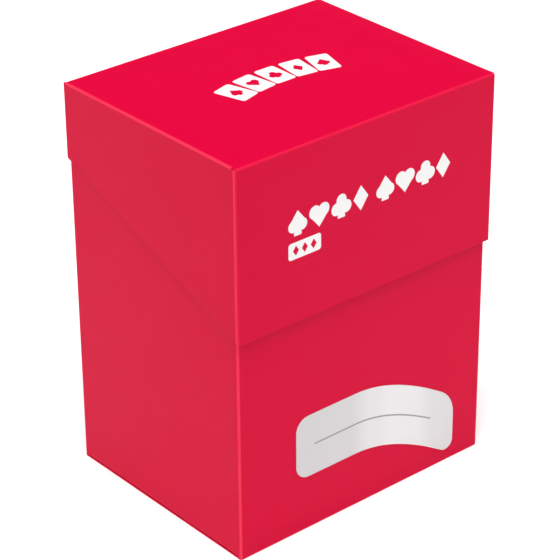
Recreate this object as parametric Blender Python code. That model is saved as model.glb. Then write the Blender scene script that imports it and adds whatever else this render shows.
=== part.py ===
"""Folding deck box for playing cards: an upright case creased from thin plastic sheet, with a hinged cap.

Every panel, flap and tab of the creased sheet is its own solid. A bend belongs to one of the two panels
that it joins, and a slit as wide as a glue line parts it from the other. Lengths are in metres, +Z is up,
the front faces -Y, and the origin is under the middle of the box, on the surface it stands on.
"""

import math

import bmesh
import bpy
from mathutils import Matrix, Vector

# Driving dimensions.
WIDTH = 0.0750  # across the lid, left to right
DEPTH = 0.0593  # across the lid, front to back
HEIGHT = 0.0975  # from the floor to the top of the lid
SHEET = 0.0004  # the plastic sheet
FOLD = 0.00055  # outside radius of a crease
NEST_GAP = 0.0002  # air between the closed lid and the case
GLUE_GAP = 0.0001  # glue line between two sheets, and the slit beside a bend

# The lid.
FLAP_BOTTOM = 0.0559  # lower edge of the front flap
SIDE_BACK_BOTTOM = 0.0791  # lower edge of a side panel where it meets the back
CORNER_TAB = 0.0180  # width of the tab glued behind the front flap
CORNER_RELIEF = 0.0015  # how far the creases along the top stop behind the front
FLAP_INSET = 0.00035  # how far the front flap's cut edges lie inside the sides
HINGE_SHEET = 0.0003  # the sheet where it is scored thin to make the hinge

# The case.
SEAM_FLAP = 0.0120  # width of the flap glued behind the back panel
BOTTOM_FLAP = 0.0140  # height of the flap glued behind the front panel
DUST_FLAP = 0.0220  # how far a side's bottom flap reaches inwards
FLAP_TAPER = 0.0025  # how far a glued flap narrows at each end
THUMB_NOTCH = 0.0100  # radius of the notch in the front panel's top edge

# The divider card that stands between two stacks.
DIVIDER_WIDTH = 0.0670
DIVIDER_HEIGHT = 0.0920
DIVIDER_CORNER = 0.0030
DIVIDER_GAP = 0.0003  # under the divider, and beside it where it stands or stops

# The label for writing on: a band that runs level and then bends downwards.
LABEL_LEFT = -0.0205
LABEL_RIGHT = 0.0284
LABEL_MIDDLE = 0.0220  # height of the level stretch's centre line
LABEL_HEIGHT = 0.0159
LABEL_SHEET = 0.0001
LABEL_BEND_START = -0.0030
LABEL_BEND_LENGTH = 0.0240  # how gently the band turns downwards
LABEL_BEND_SLOPE = 0.82  # the slope that it would reach in the end
LABEL_LEFT_RADIUS = 0.0036
LABEL_TIP_RADIUS = 0.0023
LABEL_SHOULDER_RADIUS = 0.0085
LABEL_STEPS = 9

ARC_STEP = math.radians(15)

# Faces worked out from the driving dimensions.
LID_X = WIDTH / 2
LID_FRONT = -DEPTH / 2
TAB_FRONT = LID_FRONT + SHEET + GLUE_GAP
CASE_X = LID_X - SHEET - NEST_GAP
CASE_FRONT = TAB_FRONT + SHEET + NEST_GAP
BACK = DEPTH / 2
SEAM_BACK = BACK - SHEET - GLUE_GAP
BOTTOM_FLAP_FRONT = CASE_FRONT + SHEET + GLUE_GAP
DUST_BOTTOM = SHEET + GLUE_GAP
RIM = HEIGHT - FOLD - GLUE_GAP
PANEL_X = CASE_X - FOLD - GLUE_GAP
FLOOR = DUST_BOTTOM + SHEET

RED = (0.80, 0.01, 0.06, 1.0)
LABEL_WHITE = (0.82, 0.82, 0.83, 1.0)


def clear_scene():
    for thing in list(bpy.data.objects):
        bpy.data.objects.remove(thing, do_unlink=True)


def make_material(name, colour, roughness):
    material = bpy.data.materials.new(name)
    material.use_nodes = True
    shader = material.node_tree.nodes["Principled BSDF"]
    shader.inputs["Base Color"].default_value = colour
    shader.inputs["Roughness"].default_value = roughness
    shader.inputs["Metallic"].default_value = 0.0
    return material


def prism(name, outline, axis, low, high, material):
    """A closed solid: an outline across the axis, carried from low to high along it."""
    place = {
        "X": lambda a, b, along: (along, a, b),
        "Y": lambda a, b, along: (a, along, b),
        "Z": lambda a, b, along: (a, b, along),
    }[axis]
    shape = bmesh.new()
    face = shape.faces.new([shape.verts.new(place(a, b, low)) for a, b in outline])
    swept = bmesh.ops.extrude_face_region(shape, geom=[face])
    moved = [item for item in swept["geom"] if isinstance(item, bmesh.types.BMVert)]
    bmesh.ops.translate(shape, verts=moved, vec=place(0, 0, high - low))
    bmesh.ops.recalc_face_normals(shape, faces=shape.faces)
    mesh = bpy.data.meshes.new(name)
    shape.to_mesh(mesh)
    shape.free()
    mesh.materials.append(material)
    part = bpy.data.objects.new(name, mesh)
    bpy.context.collection.objects.link(part)
    return part


def arc(centre, radius, start, turn):
    """Points on a circle from the angle start, through turn."""
    steps = max(1, math.ceil(abs(turn) / ARC_STEP - 1e-6))
    angles = [start + turn * i / steps for i in range(steps + 1)]
    return [centre + radius * Vector((math.cos(a), math.sin(a))) for a in angles]


def corner_arc(before, corner, after, radius, inset=0.0):
    """The rounding of a corner, or of the line that runs inset inside it, to the left of the way round."""
    arriving = (Vector(corner) - Vector(before)).normalized()
    leaving = (Vector(after) - Vector(corner)).normalized()
    turn = math.atan2(arriving.x * leaving.y - arriving.y * leaving.x, arriving.dot(leaving))
    side = Matrix.Rotation(math.copysign(math.pi / 2, turn), 2)
    inward = side @ arriving
    centre = Vector(corner) + (inward + side @ leaving) * radius / (1 + arriving.dot(leaving))
    return arc(centre, radius - inset, math.atan2(-inward.y, -inward.x), turn)


def rounded_outline(corners):
    """An outline from (place, radius) corners. A radius of 0 leaves the corner sharp."""
    points = []
    for i, (corner, radius) in enumerate(corners):
        before, after = corners[i - 1][0], corners[(i + 1) % len(corners)][0]
        if radius:
            points += corner_arc(before, corner, after, radius)
        else:
            points.append(Vector(corner))
    return points


def folded_outline(line, thickness=SHEET):
    """The section of a folded strip whose outside follows line, with the strip to the line's left."""
    outside, inside = [Vector(line[0])], []
    for before, corner, after in zip(line, line[1:], line[2:]):
        outside += corner_arc(before, corner, after, FOLD)
        inside += corner_arc(before, corner, after, FOLD, inset=thickness)
    outside.append(Vector(line[-1]))
    left = Matrix.Rotation(math.pi / 2, 2)
    first = left @ (Vector(line[1]) - Vector(line[0])).normalized() * thickness
    last = left @ (Vector(line[-1]) - Vector(line[-2])).normalized() * thickness
    inside = [Vector(line[0]) + first] + inside + [Vector(line[-1]) + last]
    return without_doubles(outside + inside[::-1])


def without_doubles(points):
    """The points without those that repeat the one before, which a bend at a strip's end leaves."""
    return [p for i, p in enumerate(points) if (p - points[i - 1]).length > GLUE_GAP / 100]


def mirrored(line, side):
    """A line drawn for the right-hand side, or its mirror image run backwards for the left."""
    return line if side > 0 else [(-a, b) for a, b in reversed(line)]


def across(side, near, far):
    """The span between two distances from the middle plane, on the side given by its sign."""
    return sorted((side * near, side * far))


# ---- the case ------------------------------------------------------------------------------------


def front_panel(material):
    notch = arc(Vector((0, RIM)), THUMB_NOTCH, 0, -math.pi)
    outline = [(-PANEL_X, RIM), (-PANEL_X, 0), (PANEL_X, 0), (PANEL_X, RIM)] + notch
    prism("front_panel", outline, "Y", CASE_FRONT, CASE_FRONT + SHEET, material)


def back_panel(material):
    """Its right-hand edge is a cut one, which covers the seam flap and the bend beside it."""
    outline = [
        (-PANEL_X, FOLD + GLUE_GAP),
        (CASE_X - SHEET, FOLD + GLUE_GAP),
        (CASE_X - SHEET, RIM),
        (-PANEL_X, RIM),
    ]
    prism("back_panel", outline, "Y", BACK - SHEET, BACK, material)


def side_panel(name, side, rear, material):
    """A side with the upright bends at its front and at rear, the plane that its rear bend meets."""
    line = [
        (CASE_X - FOLD, CASE_FRONT),
        (CASE_X, CASE_FRONT),
        (CASE_X, rear),
        (CASE_X - FOLD, rear),
    ]
    bottom = DUST_BOTTOM + FOLD + GLUE_GAP
    prism(name, folded_outline(mirrored(line, side)), "Z", bottom, RIM, material)


def seam_glue_flap(material):
    """Continues the right side's rear bend and is glued inside the back panel."""
    outer = CASE_X - FOLD - GLUE_GAP
    inner = outer - SEAM_FLAP
    low, high = FLOOR + FLAP_TAPER, RIM - FLAP_TAPER
    outline = [(outer, low), (outer, high), (inner, high - FLAP_TAPER), (inner, low + FLAP_TAPER)]
    prism("seam_glue_flap", outline, "Y", SEAM_BACK - SHEET, SEAM_BACK, material)


def bottom_panel(material):
    """The floor, with the bend up to the back panel and the bend up to its own glue flap."""
    line = [(BOTTOM_FLAP_FRONT, FOLD), (BOTTOM_FLAP_FRONT, 0), (BACK, 0), (BACK, FOLD)]
    half = CASE_X - FOLD
    prism("bottom_panel", folded_outline(line), "X", -half, half, material)


def bottom_glue_flap(material):
    """Stands up from the floor's front bend and is glued inside the front panel."""
    low = FOLD + GLUE_GAP
    outline = [
        (-PANEL_X + FLAP_TAPER, low),
        (PANEL_X - FLAP_TAPER, low),
        (PANEL_X - 2 * FLAP_TAPER, BOTTOM_FLAP),
        (-PANEL_X + 2 * FLAP_TAPER, BOTTOM_FLAP),
    ]
    prism("bottom_glue_flap", outline, "Y", BOTTOM_FLAP_FRONT, BOTTOM_FLAP_FRONT + SHEET, material)


def dust_flap(name, side, material):
    """Folds in from the foot of a side and lies on the bottom panel."""
    line = [(CASE_X - DUST_FLAP, DUST_BOTTOM), (CASE_X, DUST_BOTTOM), (CASE_X, DUST_BOTTOM + FOLD)]
    low = BOTTOM_FLAP_FRONT + SHEET + DIVIDER_GAP
    high = SEAM_BACK - SHEET - DIVIDER_GAP
    prism(name, folded_outline(mirrored(line, side)), "Y", low, high, material)


def living_hinge(material):
    """The scored crease that joins the back panel to the lid, and bends as the lid opens."""
    line = [(BACK, HEIGHT - FOLD), (BACK, HEIGHT), (BACK - FOLD, HEIGHT)]
    half = LID_X - SHEET - GLUE_GAP
    prism("living_hinge", folded_outline(line, HINGE_SHEET), "X", -half, half, material)


def label_drop(x):
    """How far the label's centre line has bent below its level stretch."""
    run = max(0.0, x - LABEL_BEND_START) / LABEL_BEND_LENGTH
    return LABEL_BEND_SLOPE * LABEL_BEND_LENGTH * (math.sqrt(1 + run * run) - 1)


def writable_label(material):
    """A thin label on the front panel. The bend stops short of the right end, which rounds off."""
    bend_end = LABEL_RIGHT - LABEL_SHOULDER_RADIUS
    step = (bend_end - LABEL_BEND_START) / LABEL_STEPS
    bend = [LABEL_BEND_START + step * i for i in range(LABEL_STEPS + 1)]
    low = LABEL_MIDDLE - LABEL_HEIGHT / 2
    high = LABEL_MIDDLE + LABEL_HEIGHT / 2
    corners = [((LABEL_LEFT, low), LABEL_LEFT_RADIUS)]
    corners += [((x, low - label_drop(x)), 0) for x in bend]
    corners.append(((LABEL_RIGHT, low - label_drop(LABEL_RIGHT)), LABEL_TIP_RADIUS))
    corners.append(((LABEL_RIGHT, high - label_drop(LABEL_RIGHT)), LABEL_SHOULDER_RADIUS))
    corners += [((x, high - label_drop(x)), 0) for x in reversed(bend)]
    corners.append(((LABEL_LEFT, high), LABEL_LEFT_RADIUS))
    back = CASE_FRONT - GLUE_GAP
    prism("writable_label", rounded_outline(corners), "Y", back - LABEL_SHEET, back, material)


# ---- the lid -------------------------------------------------------------------------------------


def lid_top_panel(material):
    """The top, with the bend down to each side panel."""
    line = [(LID_X, HEIGHT - FOLD), (LID_X, HEIGHT), (-LID_X, HEIGHT), (-LID_X, HEIGHT - FOLD)]
    low = LID_FRONT + CORNER_RELIEF + GLUE_GAP
    high = BACK - FOLD - GLUE_GAP
    prism("lid_top_panel", folded_outline(line), "Y", low, high, material)


def lid_front_flap(material):
    """The front of the lid with its bend and the front strip of the top, which has no side bends."""
    line = [(LID_FRONT + CORNER_RELIEF, HEIGHT), (LID_FRONT, HEIGHT), (LID_FRONT, FLAP_BOTTOM)]
    half = LID_X - FLAP_INSET
    prism("lid_front_flap", folded_outline(line), "X", -half, half, material)


def side_edge_height(y):
    """The slanting lower edge of the lid's sides."""
    share = (y - LID_FRONT) / (BACK - LID_FRONT)
    return FLAP_BOTTOM + share * (SIDE_BACK_BOTTOM - FLAP_BOTTOM)


def lid_side_panel(name, side, material):
    front = TAB_FRONT + FOLD + GLUE_GAP
    outline = [
        (front, side_edge_height(front)),
        (BACK, side_edge_height(BACK)),
        (BACK, RIM),
        (front, RIM),
    ]
    prism(name, outline, "X", *across(side, LID_X - SHEET, LID_X), material)


def lid_corner_tab(name, side, material):
    """The upright bend at the front of a lid side, with the tab glued behind the front flap."""
    line = [(LID_X - FOLD - CORNER_TAB, TAB_FRONT), (LID_X, TAB_FRONT), (LID_X, TAB_FRONT + FOLD)]
    bottom = side_edge_height(TAB_FRONT + FOLD)
    prism(name, folded_outline(mirrored(line, side)), "Z", bottom, RIM, material)


# ---- inside --------------------------------------------------------------------------------------


def card_divider(material):
    """A loose card that stands upright on the floor, at rest against the back."""
    half = DIVIDER_WIDTH / 2
    low = FLOOR + DIVIDER_GAP
    high = low + DIVIDER_HEIGHT
    places = [(-half, low), (half, low), (half, high), (-half, high)]
    outline = rounded_outline([(place, DIVIDER_CORNER) for place in places])
    back = SEAM_BACK - SHEET - DIVIDER_GAP
    prism("card_divider", outline, "Y", back - SHEET, back, material)


def build():
    clear_scene()
    red_sheet = make_material("red_sheet", RED, 0.42)
    label_film = make_material("label_film", LABEL_WHITE, 0.35)
    divider_sheet = make_material("divider_sheet", RED, 0.45)
    front_panel(red_sheet)
    back_panel(red_sheet)
    side_panel("left_side_panel", -1, BACK, red_sheet)
    side_panel("right_side_panel", 1, SEAM_BACK, red_sheet)
    seam_glue_flap(red_sheet)
    bottom_panel(red_sheet)
    bottom_glue_flap(red_sheet)
    dust_flap("left_dust_flap", -1, red_sheet)
    dust_flap("right_dust_flap", 1, red_sheet)
    living_hinge(red_sheet)
    writable_label(label_film)
    lid_top_panel(red_sheet)
    lid_front_flap(red_sheet)
    lid_side_panel("lid_left_side_panel", -1, red_sheet)
    lid_side_panel("lid_right_side_panel", 1, red_sheet)
    lid_corner_tab("lid_left_corner_tab", -1, red_sheet)
    lid_corner_tab("lid_right_corner_tab", 1, red_sheet)
    card_divider(divider_sheet)


build()
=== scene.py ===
"""Looks for the folding deck box: creased satin plastic sheet, white prints and a writing label.

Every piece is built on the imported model's own boxes. A panel is a grid of points along its folded section,
given the sheet's thickness, with its cut edges slightly rounded. Lengths are in metres, the front faces -Y.
"""

import math

import bmesh
import bpy
import numpy as np
from mathutils import Matrix, Vector


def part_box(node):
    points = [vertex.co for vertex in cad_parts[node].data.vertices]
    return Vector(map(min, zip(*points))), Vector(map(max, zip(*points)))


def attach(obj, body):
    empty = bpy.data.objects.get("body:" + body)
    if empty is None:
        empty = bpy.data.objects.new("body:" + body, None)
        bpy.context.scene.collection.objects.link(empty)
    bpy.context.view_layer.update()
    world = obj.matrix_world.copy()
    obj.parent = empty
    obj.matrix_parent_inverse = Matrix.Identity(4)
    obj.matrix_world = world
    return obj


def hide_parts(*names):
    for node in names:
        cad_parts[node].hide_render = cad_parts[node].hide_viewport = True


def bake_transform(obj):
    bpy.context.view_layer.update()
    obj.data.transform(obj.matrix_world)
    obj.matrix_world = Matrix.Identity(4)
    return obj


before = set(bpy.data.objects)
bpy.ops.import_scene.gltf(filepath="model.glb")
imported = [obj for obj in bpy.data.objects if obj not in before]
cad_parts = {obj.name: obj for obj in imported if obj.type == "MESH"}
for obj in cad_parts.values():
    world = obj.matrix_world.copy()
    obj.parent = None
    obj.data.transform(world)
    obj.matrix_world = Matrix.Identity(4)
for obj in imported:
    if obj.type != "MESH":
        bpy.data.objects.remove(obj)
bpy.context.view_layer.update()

MM = 0.001

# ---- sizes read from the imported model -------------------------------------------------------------

top_low, top_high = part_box("lid_top_panel")
flap_low, flap_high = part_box("lid_front_flap")
lid_side_low, lid_side_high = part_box("lid_right_side_panel")
tab_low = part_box("lid_right_corner_tab")[0]
front_low, front_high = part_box("front_panel")
back_low, back_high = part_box("back_panel")
side_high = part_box("right_side_panel")[1]
seam_low, seam_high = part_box("seam_glue_flap")
floor_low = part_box("bottom_panel")[0]
glue_low, glue_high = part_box("bottom_glue_flap")
dust_low, dust_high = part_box("right_dust_flap")
hinge_low, hinge_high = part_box("living_hinge")
label_low, label_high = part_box("writable_label")
divider_low, divider_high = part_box("card_divider")

LID_X = top_high.x
HEIGHT = top_high.z
LID_FRONT = flap_low.y
BACK = back_high.y
SHEET = lid_side_high.x - lid_side_low.x
FOLD = HEIGHT - top_low.z  # the outside radius of a bend
TAB_FRONT = tab_low.y
CASE_X = side_high.x
CASE_FRONT = front_low.y
PANEL_X = front_high.x
RIM = front_high.z
SLIT = CASE_X - FOLD - PANEL_X
SEAM_BACK = side_high.y
DUST_BOTTOM = dust_low.z


def lowest_at_back(node):
    """The lowest corner that a node has on the box's back plane."""
    corners = [vertex.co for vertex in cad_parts[node].data.vertices]
    return min(corner.z for corner in corners if abs(corner.y - BACK) < SLIT)


SIDE_FRONT_BOTTOM = lid_side_low.z
SIDE_BACK_BOTTOM = lowest_at_back("lid_right_side_panel")
HANDS = (("left", -1), ("right", 1))  # the name of each side of the box, and its sign along X

# ---- sizes of the finer detail --------------------------------------------------------------------

THUMB_NOTCH = 10.0 * MM  # its radius
FLAP_TAPER = 2.5 * MM
DIVIDER_CORNER = 3.0 * MM
HINGE_SHEET = 0.3 * MM
PRINT_SHEET = 0.02 * MM
CUT_ROUNDING = 0.05 * MM
CREASE_RELIEF = 0.5 * MM  # how far an upright crease stops short of the rim
NOTHING = 0.03 * MM  # the width of a step cut square across a panel's edge
FLAT_STEP = 6.0 * MM  # between the points of a flat stretch
FOLD_STEPS = 10
CURVE_STEPS = 24
STRAIGHT = 1e-4  # a turn in radians too small to be a bend

# The label is level on the left and bends down on the right, with an upper shoulder and a lower tip.
LABEL_HEIGHT = 15.9 * MM
BEND_START = -3.0 * MM
BEND_LENGTH = 24.0 * MM
BEND_SLOPE = 0.82
LABEL_LEFT_RADIUS = 3.6 * MM
LABEL_TIP_RADIUS = 2.3 * MM
LABEL_SHOULDER_RADIUS = 8.5 * MM
LABEL_ROUNDING = 0.03 * MM
LINE_LEFT, LINE_RIGHT = -15.3 * MM, 21.0 * MM
LINE_WIDTH = 0.4 * MM
LINE_STEPS = 40

# The prints. Sizes are (width, height), places are (across, up).
PRINT_CORNER = 0.7 * MM
SUIT_HEIGHT = 5.8 * MM
SUIT_ROW_Z = HEIGHT - 17.7 * MM
SUIT_GROUPS = ((-23.4 * MM, -0.6 * MM), (1.8 * MM, 24.0 * MM))  # each group's left and right end
TAG_SIZE = (9.2 * MM, 4.0 * MM)
TAG_PLACE = (-18.8 * MM, HEIGHT - 24.1 * MM)
TAG_PIP_HEIGHT = 2.3 * MM
TAG_PIP_STEP = 2.5 * MM
CARD_COUNT = 5
CARD_SIZE = (5.6 * MM, 8.4 * MM)
CARD_PIP_HEIGHT = 3.4 * MM
FAN_RADIUS = 46.0 * MM
FAN_STEP = math.radians(8)
FAN_MIDDLE_Y = 1.9 * MM  # the middle card's place on the lid's top, along Y

# ---- colours, camera and light --------------------------------------------------------------------

SHEET_RED = (0.615, 0.0002, 0.038, 1.0)
DEEP_RED = tuple(c * 0.88 for c in SHEET_RED[:3]) + (1.0,)
# Crease colour: partly the plastic's stress whitening, partly a painted highlight of the rounded folds.
CREASE_PALE_AND_HIGHLIGHT_RED = (0.79, 0.036, 0.080, 1.0)
CUT_RED = (0.68, 0.006, 0.048, 1.0)
INK_WHITE = (0.84, 0.83, 0.83, 1.0)
INK_DULL = (0.80, 0.76, 0.77, 1.0)
LINE_GREY = (0.33, 0.34, 0.35, 1.0)
LINE_DARK = (0.26, 0.27, 0.28, 1.0)
FLOOR_WHITE = (0.95, 0.95, 0.95, 1.0)
FLOOR_BRIGHT = (0.98, 0.98, 0.98, 1.0)

# The label's painted sheen: its brightness along its length, each with its share of the way from left to
# right.
LABEL_PAINTED_SHEEN = (
    (0.0, 0.57),
    (0.32, 0.59),
    (0.46, 0.69),
    (0.60, 0.735),
    (0.74, 0.725),
    (0.88, 0.65),
    (1.0, 0.64),
)
LABEL_SHEEN_BLUE = 1.01  # the blue's share of the brightness

CAMERA_AZIMUTH = math.radians(-40.424)
CAMERA_ELEVATION = math.radians(28.508)
CAMERA_ROLL = math.radians(-0.417)
CAMERA_TARGET = Vector((0, 0, 50 * MM))
CAMERA_DISTANCE = 546.5 * MM
CAMERA_LEFTWARDS = 0.389 * MM
CAMERA_DOWNWARDS = 3.031 * MM
LENS, SENSOR = 152.48, 36.0  # in millimetres, as Blender takes them

# Each light's direction, spread in degrees, and its share of full white on a sheet that faces it.
LIGHTS = {
    "overhead_light": ((-0.09, -0.10, 1), 44, 1.10),
    "front_light": ((-0.70, -0.68, 0.92), 40, 0.39),
}
BAND_FADES = (0.05, 0.10)  # how high the bright horizon band starts and stops fading, as a sine
BAND_STRENGTH, SKY_STRENGTH = 1.0, 0.06
FLOOR_REACH = 10.0

# ---- mesh helpers ---------------------------------------------------------------------------------

# Where a point (a, b) of a section lies when the section is carried along each axis.
PLACES = {
    "X": lambda a, b, along: (along, a, b),
    "Y": lambda a, b, along: (a, along, b),
    "Z": lambda a, b, along: (a, b, along),
}


def link_mesh(name, vertices, faces, material, marks):
    """A new object from points and faces, with its normals outward and its shading smooth up to 30 degrees.

    Marks are values that the points carry for the material, by name."""
    mesh = bpy.data.meshes.new(name)
    mesh.from_pydata([tuple(v) for v in vertices], [], faces)
    mesh.materials.append(material)
    for mark_name, values in marks.items():
        mesh.attributes.new(mark_name, "FLOAT", "POINT").data.foreach_set("value", values)
    piece = bpy.data.objects.new(name, mesh)
    bpy.context.scene.collection.objects.link(piece)
    turn_outward(mesh)
    mesh.shade_smooth()
    mesh.set_sharp_from_angle(angle=math.radians(30))
    return piece


def turn_outward(mesh):
    """Turns every face's normal out of the solid."""
    shape = bmesh.new()
    shape.from_mesh(mesh)
    bmesh.ops.recalc_face_normals(shape, faces=shape.faces)
    shape.to_mesh(mesh)
    shape.free()


def unit(vector):
    """The direction of a numpy vector."""
    return vector / np.linalg.norm(vector)


def flat_run(start, end):
    """Points from start up to, but not including, end."""
    steps = max(1, round((end - start).length / FLAT_STEP))
    return [start.lerp(end, i / steps) for i in range(steps)]


def folded_section(line):
    """Points, outward normals and crease marks along a line whose corners are bends.

    The sheet lies to the left of the line, so its outside faces right."""
    line = [Vector(p) for p in line]
    ways = [(b - a).normalized() for a, b in zip(line, line[1:])]
    points, normals, creases = [], [], []
    here = line[0]
    for way, next_way, corner in zip(ways, ways[1:] + ways[-1:], line[1:]):
        outward = Vector((way.y, -way.x))
        turn = -way.angle_signed(next_way)
        bends = abs(turn) > STRAIGHT
        end = corner - way * FOLD * math.tan(abs(turn) / 2) if bends else corner
        run = flat_run(here, end)
        points += run
        normals += [outward] * len(run)
        creases += [0.0] * len(run)
        here = end
        if bends:
            centre = end - outward * FOLD
            for step in range(FOLD_STEPS):
                share = step / FOLD_STEPS
                spoke = Matrix.Rotation(turn * share, 2) @ outward
                points.append(centre + spoke * FOLD)
                normals.append(spoke)
                creases.append(math.sqrt(math.sin(math.pi * share)))
            here = centre + Matrix.Rotation(turn, 2) @ outward * FOLD
    points.append(line[-1])
    normals.append(outward)
    creases.append(0.0)
    return points, normals, creases


def grid_rim(rows, columns):
    """The (row, column) places around the outside of a grid, in order."""
    rim = [(i, 0) for i in range(rows - 1)]
    rim += [(rows - 1, j) for j in range(columns - 1)]
    rim += [(i, columns - 1) for i in range(rows - 1, 0, -1)]
    rim += [(0, j) for j in range(columns - 1, 0, -1)]
    return rim


def cut_growth(outer, i, j, cut):
    """The way out of the sheet at a place on the grid's rim, or nothing where the side isn't a cut edge."""
    rows, columns = outer.shape[:2]
    sides = {
        "start": (i == 0, (1, j)),
        "end": (i == rows - 1, (rows - 2, j)),
        "low": (j == 0, (i, 1)),
        "high": (j == columns - 1, (i, columns - 2)),
    }
    growth = np.zeros(3)
    for side, (is_on_side, neighbour) in sides.items():
        if is_on_side and side in cut:
            growth += unit(outer[i, j] - outer[neighbour])
    return growth


def sheet_faces(rows, columns, rim):
    """The sheet's two faces, then three strips around its rim that make the rounded edge."""
    size, count = rows * columns, len(rim)
    faces = []
    for i in range(rows - 1):
        for j in range(columns - 1):
            a, b = i * columns + j, (i + 1) * columns + j
            faces.append((a, b, b + 1, a + 1))
            faces.append((size + a, size + a + 1, size + b + 1, size + b))
    for k, (i, j) in enumerate(rim):
        after = (k + 1) % count
        p, q = rim[after]
        edge = (i * columns + j, p * columns + q)
        up = (2 * size + k, 2 * size + after)
        low = (2 * size + count + k, 2 * size + count + after)
        faces.append((edge[0], up[0], up[1], edge[1]))
        faces.append((up[0], low[0], low[1], up[1]))
        faces.append((low[0], size + edge[0], size + edge[1], low[1]))
    return faces


def grid_solid(name, outer, normals, creases, cut, thickness, material):
    """A closed sheet from a grid of outer points. cut names the sides of the grid that are cut edges."""
    rows, columns = outer.shape[:2]
    inner = outer - normals * thickness
    rim = grid_rim(rows, columns)
    upper, lower = [], []
    for i, j in rim:
        growth = cut_growth(outer, i, j, cut)
        upper.append(outer[i, j] + (growth - normals[i, j]) * CUT_ROUNDING)
        lower.append(inner[i, j] + (growth + normals[i, j]) * CUT_ROUNDING)
    vertices = np.concatenate([outer.reshape(-1, 3), inner.reshape(-1, 3), upper, lower])
    crease_mark = np.concatenate([creases.ravel(), creases.ravel(), np.zeros(2 * len(rim))])
    cut_mark = np.concatenate([np.zeros(2 * rows * columns), np.ones(2 * len(rim))])
    marks = {"crease": crease_mark, "cut": cut_mark}
    return link_mesh(name, vertices, sheet_faces(rows, columns, rim), material, marks)


def panel(name, line, axis, low, high, cut, material, thickness=SHEET, whitening_and_highlight=1.0):
    """A folded panel: its section carried along an axis from low to high.

    Low and high may be functions of the section's point and its crease mark. Cut names the cut edges: the
    line's start or end, and the low or high end. The last argument says how pale the creases are painted:
    partly the plastic's stress whitening, partly a painted highlight of the rounded folds."""
    place = PLACES[axis]
    points, normals, creases = folded_section(line)
    lows = [low(p, c) if callable(low) else low for p, c in zip(points, creases)]
    highs = [high(p, c) if callable(high) else high for p, c in zip(points, creases)]
    longest = max(h - l for h, l in zip(highs, lows))
    shares = np.linspace(0, 1, 2 + round(longest / FLAT_STEP))
    outer = np.array([[place(*p, l + (h - l) * s) for s in shares] for p, l, h in zip(points, lows, highs)])
    outward = np.array([[place(*n, 0.0)] * len(shares) for n in normals])
    marks = np.array([[c * whitening_and_highlight] * len(shares) for c in creases])
    return grid_solid(name, outer, outward, marks, cut, thickness, material)


def mirrored(line, side):
    """A line drawn for the right-hand side, or its mirror image run backwards for the left."""
    return line if side > 0 else [(-a, b) for a, b in reversed(line)]


def mirrored_cut(end, side):
    """The name of a line's cut end, once the line is mirrored."""
    other = {"start": "end", "end": "start"}
    return end if side > 0 else other[end]


def grown(outline, by):
    """An outline moved outwards by a small distance."""
    larger = []
    for i, here in enumerate(outline):
        before, after = outline[i - 1], outline[(i + 1) % len(outline)]
        way = (after - before).normalized()
        larger.append(here + Vector((way.y, -way.x)) * by)
    return larger


def plate(name, outlines, place, thickness, material, rounding=0.0):
    """Flat plates of one thickness: place(a, b, depth) puts a point of an outline at a depth under the face.

    Rounding is how far the cut edge stands out between the two faces."""
    edge = [(rounding, rounding, 1.0), (rounding, thickness - rounding, 1.0)] if rounding else []
    rings = [(0.0, 0.0, 0.0)] + edge + [(0.0, thickness, 0.0)]
    vertices, faces, cut_mark = [], [], []
    for outline in outlines:
        count, first = len(outline), len(vertices)
        for growth, depth, is_cut in rings:
            vertices += [place(p.x, p.y, depth) for p in grown(outline, growth)]
            cut_mark += [is_cut] * count
        faces.append(tuple(range(first, first + count)))
        for level in range(len(rings) - 1):
            base = first + level * count
            for k in range(count):
                after = (k + 1) % count
                faces.append((base + k, base + count + k, base + count + after, base + after))
        last = first + (len(rings) - 1) * count
        faces.append(tuple(range(last + count - 1, last - 1, -1)))
    marks = {"crease": [0.0] * len(vertices), "cut": cut_mark}
    return link_mesh(name, vertices, faces, material, marks)


# ---- outlines -------------------------------------------------------------------------------------


def circle(centre_x, centre_y, radius):
    """Distance from the origin to a circle around it, as a function of the direction."""
    centre = Vector((centre_x, centre_y))

    def reach(way):
        along = way.dot(centre)
        return along + math.sqrt(along * along - centre.length_squared + radius * radius)

    return reach


def wedge(*corners):
    """Distance from the origin to the edge of a convex outline around it, as a function of the direction."""
    points = [Vector(c) for c in corners]
    parallel = 1e-9

    def reach(way):
        found = []
        for a, b in zip(points, points[1:] + points[:1]):
            edge = b - a
            outward = Vector((edge.y, -edge.x))
            if outward.dot(way) > parallel:
                found.append(outward.dot(a) / outward.dot(way))
        return min(found)

    return reach


def union_outline(shapes, size, steps=96):
    """The outline of overlapping shapes that all hold the origin."""
    outline = []
    for i in range(steps):
        angle = 2 * math.pi * i / steps
        way = Vector((math.cos(angle), math.sin(angle)))
        outline.append(way * max(reach(way) for reach in shapes) * size)
    return outline


def suit_outlines(size):
    """Spade, heart, club and diamond, each about size high. They are drawn in shares of their size."""
    stem = wedge((-0.20, -0.50), (0.20, -0.50), (0.03, 0.1), (-0.03, 0.1))
    spade = [circle(0.21, -0.10, 0.245), circle(-0.21, -0.10, 0.245), stem]
    spade.append(wedge((0.43, -0.02), (0.0, 0.52), (-0.43, -0.02), (0.0, -0.2)))
    heart = [circle(0.215, 0.15, 0.275), circle(-0.215, 0.15, 0.275)]
    heart.append(wedge((-0.465, 0.04), (0.0, -0.50), (0.465, 0.04), (0.0, 0.2)))
    club = [circle(0.0, 0.23, 0.245), circle(-0.235, -0.09, 0.26), circle(0.235, -0.09, 0.26), stem]
    diamond = [wedge((-0.37, 0.0), (0.0, -0.52), (0.37, 0.0), (0.0, 0.52))]
    return [union_outline(shapes, size) for shapes in (spade, heart, club, diamond)]


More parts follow.
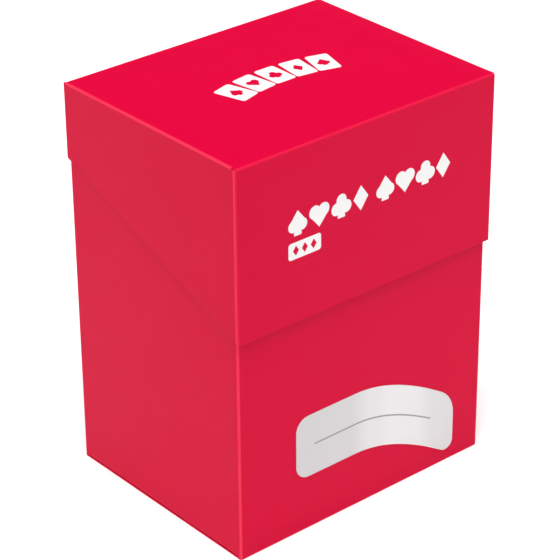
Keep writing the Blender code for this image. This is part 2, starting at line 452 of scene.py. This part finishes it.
def rounded_box(width, height, radius, steps=6):
    """A rectangle around the origin with round corners, run counterclockwise."""
    outline = []
    for quarter in range(4):
        sign_x = 1 if quarter in (0, 3) else -1
        sign_y = 1 if quarter in (0, 1) else -1
        centre = Vector((sign_x * (width / 2 - radius), sign_y * (height / 2 - radius)))
        for step in range(steps + 1):
            angle = math.pi / 2 * (quarter + step / steps)
            outline.append(centre + radius * Vector((math.cos(angle), math.sin(angle))))
    return outline


def moved(outline, x, y, turn=0.0):
    """An outline turned about the origin, then moved."""
    rotation = Matrix.Rotation(turn, 2)
    return [rotation @ p + Vector((x, y)) for p in outline]


def in_a_row(outlines, left, right, middle):
    """Outlines set side by side with equal gaps, filling the width from left to right."""
    sides = [(min(p.x for p in outline), max(p.x for p in outline)) for outline in outlines]
    gap = (right - left - sum(high - low for low, high in sides)) / (len(outlines) - 1)
    row = []
    for outline, (low, high) in zip(outlines, sides):
        row.append(moved(outline, left - low, middle))
        left += high - low + gap
    return row


def corner_arc(before, corner, after, radius, steps=10):
    """The rounding of a corner that turns left."""
    arriving = (corner - before).normalized()
    leaving = (after - corner).normalized()
    turn = math.atan2(arriving.x * leaving.y - arriving.y * leaving.x, arriving.dot(leaving))
    inward = Vector((-arriving.y, arriving.x))
    centre = corner + (inward + Vector((-leaving.y, leaving.x))) * radius / (1 + arriving.dot(leaving))
    return [centre + Matrix.Rotation(turn * i / steps, 2) @ (-inward * radius) for i in range(steps + 1)]


# ---- materials ------------------------------------------------------------------------------------


def new_material(name, roughness, specular):
    """A new material, its node tree and its shader."""
    material = bpy.data.materials.new(name)
    material.use_nodes = True
    shader = material.node_tree.nodes["Principled BSDF"]
    shader.inputs["Roughness"].default_value = roughness
    shader.inputs["Specular IOR Level"].default_value = specular
    return material, material.node_tree, shader


def noise(tree, repeats, detail=2.0):
    """Noise over the piece's own coordinates, in repeats per metre."""
    place = tree.nodes.new("ShaderNodeTexCoord")
    texture = tree.nodes.new("ShaderNodeTexNoise")
    texture.inputs["Scale"].default_value = repeats
    texture.inputs["Detail"].default_value = detail
    tree.links.new(place.outputs["Object"], texture.inputs["Vector"])
    return texture.outputs["Fac"]


def mark(tree, name):
    """A mark that the mesh carries on its points."""
    node = tree.nodes.new("ShaderNodeAttribute")
    node.attribute_name = name
    return node.outputs["Fac"]


def spread(tree, value, low, high):
    """A 0 to 1 value spread from low to high."""
    node = tree.nodes.new("ShaderNodeMapRange")
    node.inputs["To Min"].default_value = low
    node.inputs["To Max"].default_value = high
    tree.links.new(value, node.inputs["Value"])
    return node.outputs["Result"]


def product(tree, first, second):
    """Two values multiplied."""
    node = tree.nodes.new("ShaderNodeMath")
    node.operation = "MULTIPLY"
    tree.links.new(first, node.inputs[0])
    tree.links.new(second, node.inputs[1])
    return node.outputs["Value"]


def mixed(tree, share, first, second):
    """A colour mixed from two colours or colour outputs."""
    node = tree.nodes.new("ShaderNodeMix")
    node.data_type = "RGBA"
    share_in, colour_out = node.inputs[0], node.outputs[2]
    colours_in = node.inputs[6], node.inputs[7]
    for socket, value in zip(colours_in, (first, second)):
        if isinstance(value, tuple):
            socket.default_value = value
        else:
            tree.links.new(value, socket)
    tree.links.new(share, share_in)
    return colour_out


def bumped(tree, shader, layers):
    """Stacks bump layers, each a height output with its distance in metres."""
    normal = None
    for height, distance in layers:
        bump = tree.nodes.new("ShaderNodeBump")
        bump.inputs["Distance"].default_value = distance
        tree.links.new(height, bump.inputs["Height"])
        if normal:
            tree.links.new(normal, bump.inputs["Normal"])
        normal = bump.outputs["Normal"]
    tree.links.new(normal, shader.inputs["Normal"])


def sheet_material(name):
    """Satin polypropylene: even red, a fine grain, paler where cut; creases paler by whitening and painted
    highlight.
    """
    material, tree, shader = new_material(name, roughness=0.4, specular=0.06)
    clouds = spread(tree, noise(tree, repeats=45, detail=3), low=0.0, high=0.35)
    uneven = spread(tree, noise(tree, repeats=260, detail=3), low=0.75, high=1.15)
    colour = mixed(tree, clouds, SHEET_RED, DEEP_RED)
    # Creases are painted paler: partly stress whitening, partly a painted highlight of the rounded folds.
    colour = mixed(tree, product(tree, mark(tree, "crease"), uneven), colour, CREASE_PALE_AND_HIGHLIGHT_RED)
    colour = mixed(tree, mark(tree, "cut"), colour, CUT_RED)
    roughness = spread(tree, noise(tree, repeats=120), low=0.34, high=0.46)
    tree.links.new(colour, shader.inputs["Base Color"])
    tree.links.new(roughness, shader.inputs["Roughness"])
    waves, grain = noise(tree, repeats=60), noise(tree, repeats=5200)
    bumped(tree, shader, [(waves, 0.02 * MM), (grain, 0.004 * MM)])
    return material


def ink_material():
    """White screen print: a matt film that is a little uneven."""
    material, tree, shader = new_material("white_ink", roughness=0.5, specular=0.25)
    patches = spread(tree, noise(tree, repeats=900, detail=3), low=0.0, high=0.6)
    tree.links.new(mixed(tree, patches, INK_WHITE, INK_DULL), shader.inputs["Base Color"])
    bumped(tree, shader, [(noise(tree, repeats=6000), 0.003 * MM)])
    return material


def label_painted_sheen(tree):
    """The label's colour, a painted sheen of satin film that is palest right of its middle."""
    place = tree.nodes.new("ShaderNodeTexCoord")
    parts = tree.nodes.new("ShaderNodeSeparateXYZ")
    along = tree.nodes.new("ShaderNodeMapRange")
    along.inputs["From Min"].default_value = label_low.x
    along.inputs["From Max"].default_value = label_high.x
    ramp = tree.nodes.new("ShaderNodeValToRGB")
    stops = ramp.color_ramp.elements
    ramp.color_ramp.interpolation = "EASE"
    while len(stops) < len(LABEL_PAINTED_SHEEN):
        stops.new(1.0)
    for stop, (position, sheen_level) in zip(stops, LABEL_PAINTED_SHEEN):
        stop.position = position
        stop.color = (sheen_level, sheen_level, sheen_level * LABEL_SHEEN_BLUE, 1.0)
    tree.links.new(place.outputs["Object"], parts.inputs["Vector"])
    tree.links.new(parts.outputs["X"], along.inputs["Value"])
    tree.links.new(along.outputs["Result"], ramp.inputs["Fac"])
    return ramp.outputs["Color"]


def label_material():
    """Satin label film, coloured with a painted sheen."""
    material, tree, shader = new_material("label_film", roughness=0.42, specular=0.3)
    tree.links.new(label_painted_sheen(tree), shader.inputs["Base Color"])
    roughness = spread(tree, noise(tree, repeats=300), low=0.36, high=0.48)
    tree.links.new(roughness, shader.inputs["Roughness"])
    bumped(tree, shader, [(noise(tree, repeats=4000), 0.002 * MM)])
    return material


def line_material():
    """The grey ink of the writing line."""
    material, tree, shader = new_material("label_line_ink", roughness=0.5, specular=0.25)
    colour = mixed(tree, noise(tree, repeats=1500), LINE_GREY, LINE_DARK)
    tree.links.new(colour, shader.inputs["Base Color"])
    return material


def floor_material():
    """Matt white paper."""
    material, tree, shader = new_material("studio_floor", roughness=0.9, specular=0.0)
    colour = mixed(tree, noise(tree, repeats=3), FLOOR_WHITE, FLOOR_BRIGHT)
    tree.links.new(colour, shader.inputs["Base Color"])
    return material


# ---- the case -------------------------------------------------------------------------------------


def stands_for(piece, node, body):
    """The usual calls for a piece that replaces one CAD node."""
    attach(piece, body)
    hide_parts(node)


def notch_depth(x):
    """How far the thumb notch reaches below the rim."""
    return math.sqrt(max(0.0, THUMB_NOTCH**2 - x * x))


def front_panel(material):
    """The front wall, with more columns where the thumb notch is round."""
    columns = [THUMB_NOTCH * math.cos(math.pi * (1 - i / CURVE_STEPS)) for i in range(CURVE_STEPS + 1)]
    line = [(x, CASE_FRONT) for x in [-PANEL_X] + columns + [PANEL_X]]

    def top(p, c):
        return RIM - notch_depth(p.x)

    piece = panel("front_wall", line, "Z", front_low.z + CUT_ROUNDING, top, ("low", "high"), material)
    stands_for(piece, "front_panel", "case")


def back_panel(material):
    """The rear wall, whose right-hand edge is cut."""
    line = [(back_high.x, BACK), (back_low.x, BACK)]
    piece = panel("back_wall", line, "Z", back_low.z - SLIT, hinge_low.z, ("start",), material)
    stands_for(piece, "back_panel", "case")


def side_wall(hand, side, rear, material):
    """A side with its upright bends, which reach the floor in front of the dust flap and behind it."""
    ends = (dust_low.y - SLIT, dust_high.y + SLIT)
    steps = [ends[0], ends[0] + NOTHING, ends[1] - NOTHING, ends[1]]
    line = [(PANEL_X, CASE_FRONT), (CASE_X, CASE_FRONT)] + [(CASE_X, y) for y in steps]
    line += [(CASE_X, rear), (PANEL_X, rear)]

    def bottom(p, c):
        return DUST_BOTTOM + FOLD if ends[0] < p.y < ends[1] else CUT_ROUNDING

    def top(p, c):
        return RIM - CREASE_RELIEF * c

    piece = panel(f"{hand}_wall", mirrored(line, side), "Z", bottom, top, ("low", "high"), material)
    stands_for(piece, f"{hand}_side_panel", "case")


def seam_flap(material):
    """The flap glued inside the back wall, which tapers towards its free edge."""
    fold_x = seam_high.x + SLIT
    line = [(fold_x, SEAM_BACK), (seam_low.x, SEAM_BACK)]

    def inset(p):
        return FLAP_TAPER * (fold_x - p.x) / (fold_x - seam_low.x)

    def bottom(p, c):
        return seam_low.z + inset(p)

    def top(p, c):
        return seam_high.z - inset(p)

    piece = panel("seam_flap", line, "Z", bottom, top, ("end", "low", "high"), material)
    stands_for(piece, "seam_glue_flap", "case")


def floor_panel(material):
    """The bottom, nearly as wide as the case, narrowing to its bends' width as they rise to the walls."""
    line = [(floor_low.y, glue_low.z), (floor_low.y, 0), (BACK, 0), (BACK, glue_low.z)]
    widest = CASE_X - SLIT

    def right(p, c):
        return widest - (widest - PANEL_X) * min(1.0, p.y / FOLD)

    def left(p, c):
        return -right(p, c)

    piece = panel("floor_panel", line, "X", left, right, ("low", "high"), material, whitening_and_highlight=0.3)
    stands_for(piece, "bottom_panel", "case")


def floor_glue_flap(material):
    """The floor's flap, glued inside the front wall, which tapers upwards."""
    line = [(glue_low.y, glue_high.z), (glue_low.y, glue_low.z)]

    def right(p, c):
        return glue_high.x - FLAP_TAPER * (p.y - glue_low.z) / (glue_high.z - glue_low.z)

    def left(p, c):
        return -right(p, c)

    piece = panel("floor_glue_flap", line, "X", left, right, ("start", "low", "high"), material)
    stands_for(piece, "bottom_glue_flap", "case")


def dust_flap(hand, side, material):
    """A side's flap on top of the floor, with the bend that it hangs on."""
    line = [(dust_low.x, DUST_BOTTOM), (CASE_X, DUST_BOTTOM), (CASE_X, DUST_BOTTOM + FOLD)]
    cut = (mirrored_cut("start", side), "low", "high")
    piece = panel(f"{hand}_dust", mirrored(line, side), "Y", dust_low.y, dust_high.y, cut, material)
    stands_for(piece, f"{hand}_dust_flap", "case")


def living_hinge(material):
    """The crease between the back wall and the lid."""
    line = [(BACK, hinge_low.z), (BACK, HEIGHT), (hinge_low.y, HEIGHT)]
    piece = panel("hinge_crease", line, "X", hinge_low.x, hinge_high.x, ("low", "high"), material,
                  thickness=HINGE_SHEET, whitening_and_highlight=0.35)
    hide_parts("living_hinge")
    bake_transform(piece)


def divider(material):
    """The loose card, a plain plate with round corners."""
    size = divider_high - divider_low
    middle = (divider_high + divider_low) / 2
    outline = moved(rounded_box(size.x, size.z, DIVIDER_CORNER), middle.x, middle.z)
    piece = plate("divider_card", [outline], lambda a, b, depth: (a, divider_low.y + depth, b),
                  size.y, material, rounding=CUT_ROUNDING)
    stands_for(piece, "card_divider", "divider")


# ---- the lid --------------------------------------------------------------------------------------


def lid_top(material):
    """The top with its side bends."""
    line = [(LID_X, top_low.z), (LID_X, HEIGHT), (-LID_X, HEIGHT), (-LID_X, top_low.z)]
    piece = panel("lid_top", line, "Y", top_low.y, top_high.y + SLIT, (), material)
    stands_for(piece, "lid_top_panel", "lid")


def lid_flap(material):
    """The front flap with its bend to the top."""
    line = [(top_low.y, HEIGHT), (LID_FRONT, HEIGHT), (LID_FRONT, flap_low.z)]
    piece = panel("lid_flap", line, "X", flap_low.x, flap_high.x, ("end", "low", "high"), material,
                  whitening_and_highlight=0.3)
    stands_for(piece, "lid_front_flap", "lid")


def lid_side(hand, side, material):
    """A side panel. Its top edge is cut free of the crease near the front and beside the hinge."""
    front = lid_side_low.y
    ends = (top_low.y, BACK - FOLD)
    steps = [ends[0], ends[0] + NOTHING, ends[1] - NOTHING, ends[1]]
    line = [(LID_X, front)] + [(LID_X, y) for y in steps] + [(LID_X, BACK)]

    def bottom(p, c):
        share = (p.y - front) / (BACK - front)
        return SIDE_FRONT_BOTTOM + share * (SIDE_BACK_BOTTOM - SIDE_FRONT_BOTTOM)

    def top(p, c):
        if p.y >= ends[1]:
            return HEIGHT - SLIT
        return HEIGHT - FOLD if p.y > ends[0] else HEIGHT - SHEET - SLIT

    cut = (mirrored_cut("end", side), "low")
    piece = panel(f"lid_{hand}_side", mirrored(line, side), "Z", bottom, top, cut, material)
    stands_for(piece, f"lid_{hand}_side_panel", "lid")


def lid_tab(hand, side, material):
    """A side panel's front bend with the tab that is glued behind the flap."""
    line = [(tab_low.x, TAB_FRONT), (LID_X, TAB_FRONT), (LID_X, lid_side_low.y)]
    cut = (mirrored_cut("start", side), "low", "high")
    piece = panel(f"lid_{hand}_tab", mirrored(line, side), "Z", tab_low.z, HEIGHT - SHEET - SLIT, cut,
                  material)
    stands_for(piece, f"lid_{hand}_corner_tab", "lid")


# ---- prints and label -----------------------------------------------------------------------------


def on_lid_front(a, b, depth):
    """A place in a film printed on the front flap."""
    return (a, LID_FRONT - PRINT_SHEET + depth, b)


def on_lid_top(a, b, depth):
    """A place in a film printed on the lid's top."""
    return (a, b, HEIGHT + PRINT_SHEET - depth)


def lid_print(name, outlines, place, material, lift=0.0):
    """A print on the lid; lift raises one that lies on another."""
    piece = plate(name, outlines, lambda a, b, depth: place(a, b, depth - lift), PRINT_SHEET, material)
    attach(piece, "lid")


def front_prints(ink, red):
    """Two groups of the four card suits, with a small tag of three diamonds under the first."""
    suits = suit_outlines(SUIT_HEIGHT)
    row = []
    for left, right in SUIT_GROUPS:
        row += in_a_row(suits, left, right, SUIT_ROW_Z)
    lid_print("suit_row_print", row, on_lid_front, ink)
    tag_x, tag_z = TAG_PLACE
    lid_print("tag_print", [moved(rounded_box(*TAG_SIZE, PRINT_CORNER), tag_x, tag_z)], on_lid_front, ink)
    *_, diamond = suit_outlines(TAG_PIP_HEIGHT)
    pips = [moved(diamond, tag_x + i * TAG_PIP_STEP, tag_z) for i in (-1, 0, 1)]
    lid_print("tag_pips", pips, on_lid_front, red, lift=PRINT_SHEET / 2)


def top_prints(ink, red):
    """A hand of cards, spread side by side, with a suit on each."""
    suits = suit_outlines(CARD_PIP_HEIGHT)
    cards, pips = [], []
    for i in range(CARD_COUNT):
        angle = (i - (CARD_COUNT - 1) / 2) * FAN_STEP
        x = FAN_RADIUS * math.sin(angle)
        y = FAN_MIDDLE_Y - FAN_RADIUS * (1 - math.cos(angle))
        cards.append(moved(rounded_box(*CARD_SIZE, PRINT_CORNER), x, y, -angle))
        pips.append(moved(suits[i % len(suits)], x, y, -angle))
    lid_print("card_hand_print", cards, on_lid_top, ink)
    lid_print("card_hand_pips", pips, on_lid_top, red, lift=PRINT_SHEET / 2)


def label_drop(x):
    """How far the label's centre line has bent below its level stretch."""
    run = max(0.0, x - BEND_START) / BEND_LENGTH
    return BEND_SLOPE * BEND_LENGTH * (math.sqrt(1 + run * run) - 1)


def label_outline():
    """The label's outline, counterclockwise from its lower left corner."""
    left, right = label_low.x, label_high.x
    high = label_high.z
    low = high - LABEL_HEIGHT
    bend_end = right - LABEL_SHOULDER_RADIUS
    bend = [BEND_START + (bend_end - BEND_START) * i / CURVE_STEPS for i in range(CURVE_STEPS + 1)]
    corners = [(Vector((left, low)), LABEL_LEFT_RADIUS)]
    corners += [(Vector((x, low - label_drop(x))), 0) for x in bend]
    corners.append((Vector((right, low - label_drop(right))), LABEL_TIP_RADIUS))
    corners.append((Vector((right, high - label_drop(right))), LABEL_SHOULDER_RADIUS))
    corners += [(Vector((x, high - label_drop(x))), 0) for x in reversed(bend)]
    corners.append((Vector((left, high)), LABEL_LEFT_RADIUS))
    outline = []
    for i, (corner, radius) in enumerate(corners):
        before, after = corners[i - 1][0], corners[(i + 1) % len(corners)][0]
        outline += corner_arc(before, corner, after, radius) if radius else [corner]
    return outline


def line_outline():
    """The writing line's outline, along the middle of the label."""
    middle = label_high.z - LABEL_HEIGHT / 2
    half = LINE_WIDTH / 2
    xs = [LINE_LEFT + (LINE_RIGHT - LINE_LEFT) * i / LINE_STEPS for i in range(LINE_STEPS + 1)]
    lower = [Vector((x, middle - label_drop(x) - half)) for x in xs]
    upper = [Vector((x, middle - label_drop(x) + half)) for x in reversed(xs)]
    return lower + upper


def writing_label(film, line_ink):
    """The label on the case's front, with the writing line printed on it."""
    front = label_low.y
    label = plate("writing_label", [label_outline()], lambda a, b, depth: (a, front + depth, b),
                  CASE_FRONT - front, film, rounding=LABEL_ROUNDING)
    stands_for(label, "writable_label", "case")
    line = plate("writing_line", [line_outline()], lambda a, b, depth: (a, front - PRINT_SHEET + depth, b),
                 PRINT_SHEET, line_ink)
    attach(line, "case")


# ---- camera, light and floor ----------------------------------------------------------------------


def aim_camera():
    """A long lens from the front left, a little above the box, rolled by half a degree."""
    level_reach = math.cos(CAMERA_ELEVATION)
    back = Vector((math.sin(CAMERA_AZIMUTH) * level_reach, -math.cos(CAMERA_AZIMUTH) * level_reach,
                   math.sin(CAMERA_ELEVATION)))
    level = (-back).cross(Vector((0, 0, 1))).normalized()
    upright = level.cross(-back)
    right = level * math.cos(CAMERA_ROLL) + upright * math.sin(CAMERA_ROLL)
    up = upright * math.cos(CAMERA_ROLL) - level * math.sin(CAMERA_ROLL)
    place = CAMERA_TARGET + back * CAMERA_DISTANCE - right * CAMERA_LEFTWARDS - up * CAMERA_DOWNWARDS
    data = bpy.data.cameras.new("camera")
    data.lens = LENS
    data.sensor_width = SENSOR
    camera = bpy.data.objects.new("camera", data)
    bpy.context.scene.collection.objects.link(camera)
    turn = Matrix((right, up, back)).transposed()
    camera.matrix_world = Matrix.Translation(place) @ turn.to_4x4()
    bpy.context.scene.camera = camera


def soft_light(name, direction, spread_angle, strength):
    """A wide, distant light that gives a sheet facing it the stated share of full white."""
    data = bpy.data.lights.new(name, "SUN")
    data.angle = math.radians(spread_angle)
    data.energy = math.pi * strength
    light = bpy.data.objects.new(name, data)
    bpy.context.scene.collection.objects.link(light)
    light.rotation_mode = "QUATERNION"
    light.rotation_quaternion = Vector(direction).to_track_quat("Z", "Y")


def studio_world():
    """Dim overhead, with a bright band at the horizon like the walls of a white studio."""
    world = bpy.data.worlds.new("studio")
    world.use_nodes = True
    tree = world.node_tree
    background = tree.nodes["Background"]
    place = tree.nodes.new("ShaderNodeTexCoord")
    parts = tree.nodes.new("ShaderNodeSeparateXYZ")
    height = tree.nodes.new("ShaderNodeMapRange")
    height.inputs["From Min"].default_value = BAND_FADES[0]
    height.inputs["From Max"].default_value = BAND_FADES[1]
    height.inputs["To Min"].default_value = BAND_STRENGTH
    height.inputs["To Max"].default_value = SKY_STRENGTH
    tree.links.new(place.outputs["Generated"], parts.inputs["Vector"])
    tree.links.new(parts.outputs["Z"], height.inputs["Value"])
    tree.links.new(height.outputs["Result"], background.inputs["Strength"])
    background.inputs["Color"].default_value = (1, 1, 1, 1)
    bpy.context.scene.world = world


def studio_floor():
    """A wide white floor, which isn't part of the object."""
    mesh = bpy.data.meshes.new("studio_floor")
    corners = [(x * FLOOR_REACH, y * FLOOR_REACH, 0) for x, y in ((-1, -1), (1, -1), (1, 1), (-1, 1))]
    mesh.from_pydata(corners, [], [(0, 1, 2, 3)])
    mesh.materials.append(floor_material())
    floor = bpy.data.objects.new("studio_floor", mesh)
    bpy.context.scene.collection.objects.link(floor)


def studio():
    """The white surroundings and the lights."""
    studio_floor()
    studio_world()
    bpy.context.scene.view_settings.view_transform = "Standard"
    for name, (direction, spread_angle, strength) in LIGHTS.items():
        soft_light(name, direction, spread_angle, strength)


# ---- everything together --------------------------------------------------------------------------


def build_case(sheet):
    """The case's walls, flaps and floor, and the crease that joins the lid to it."""
    front_panel(sheet)
    back_panel(sheet)
    rears = {"left": BACK, "right": SEAM_BACK}
    for hand, side in HANDS:
        side_wall(hand, side, rears[hand], sheet)
    seam_flap(sheet)
    floor_panel(sheet)
    floor_glue_flap(sheet)
    for hand, side in HANDS:
        dust_flap(hand, side, sheet)
    living_hinge(sheet)


def build_lid(sheet):
    """The lid's top, flap, sides and tabs."""
    lid_top(sheet)
    lid_flap(sheet)
    for hand, side in HANDS:
        lid_side(hand, side, sheet)
    for hand, side in HANDS:
        lid_tab(hand, side, sheet)


def build():
    """Every piece of the object."""
    sheet = sheet_material("red_sheet")
    ink = ink_material()
    build_case(sheet)
    build_lid(sheet)
    front_prints(ink, sheet)
    top_prints(ink, sheet)
    writing_label(label_material(), line_material())
    divider(sheet_material("divider_sheet"))


build()
aim_camera()
studio()
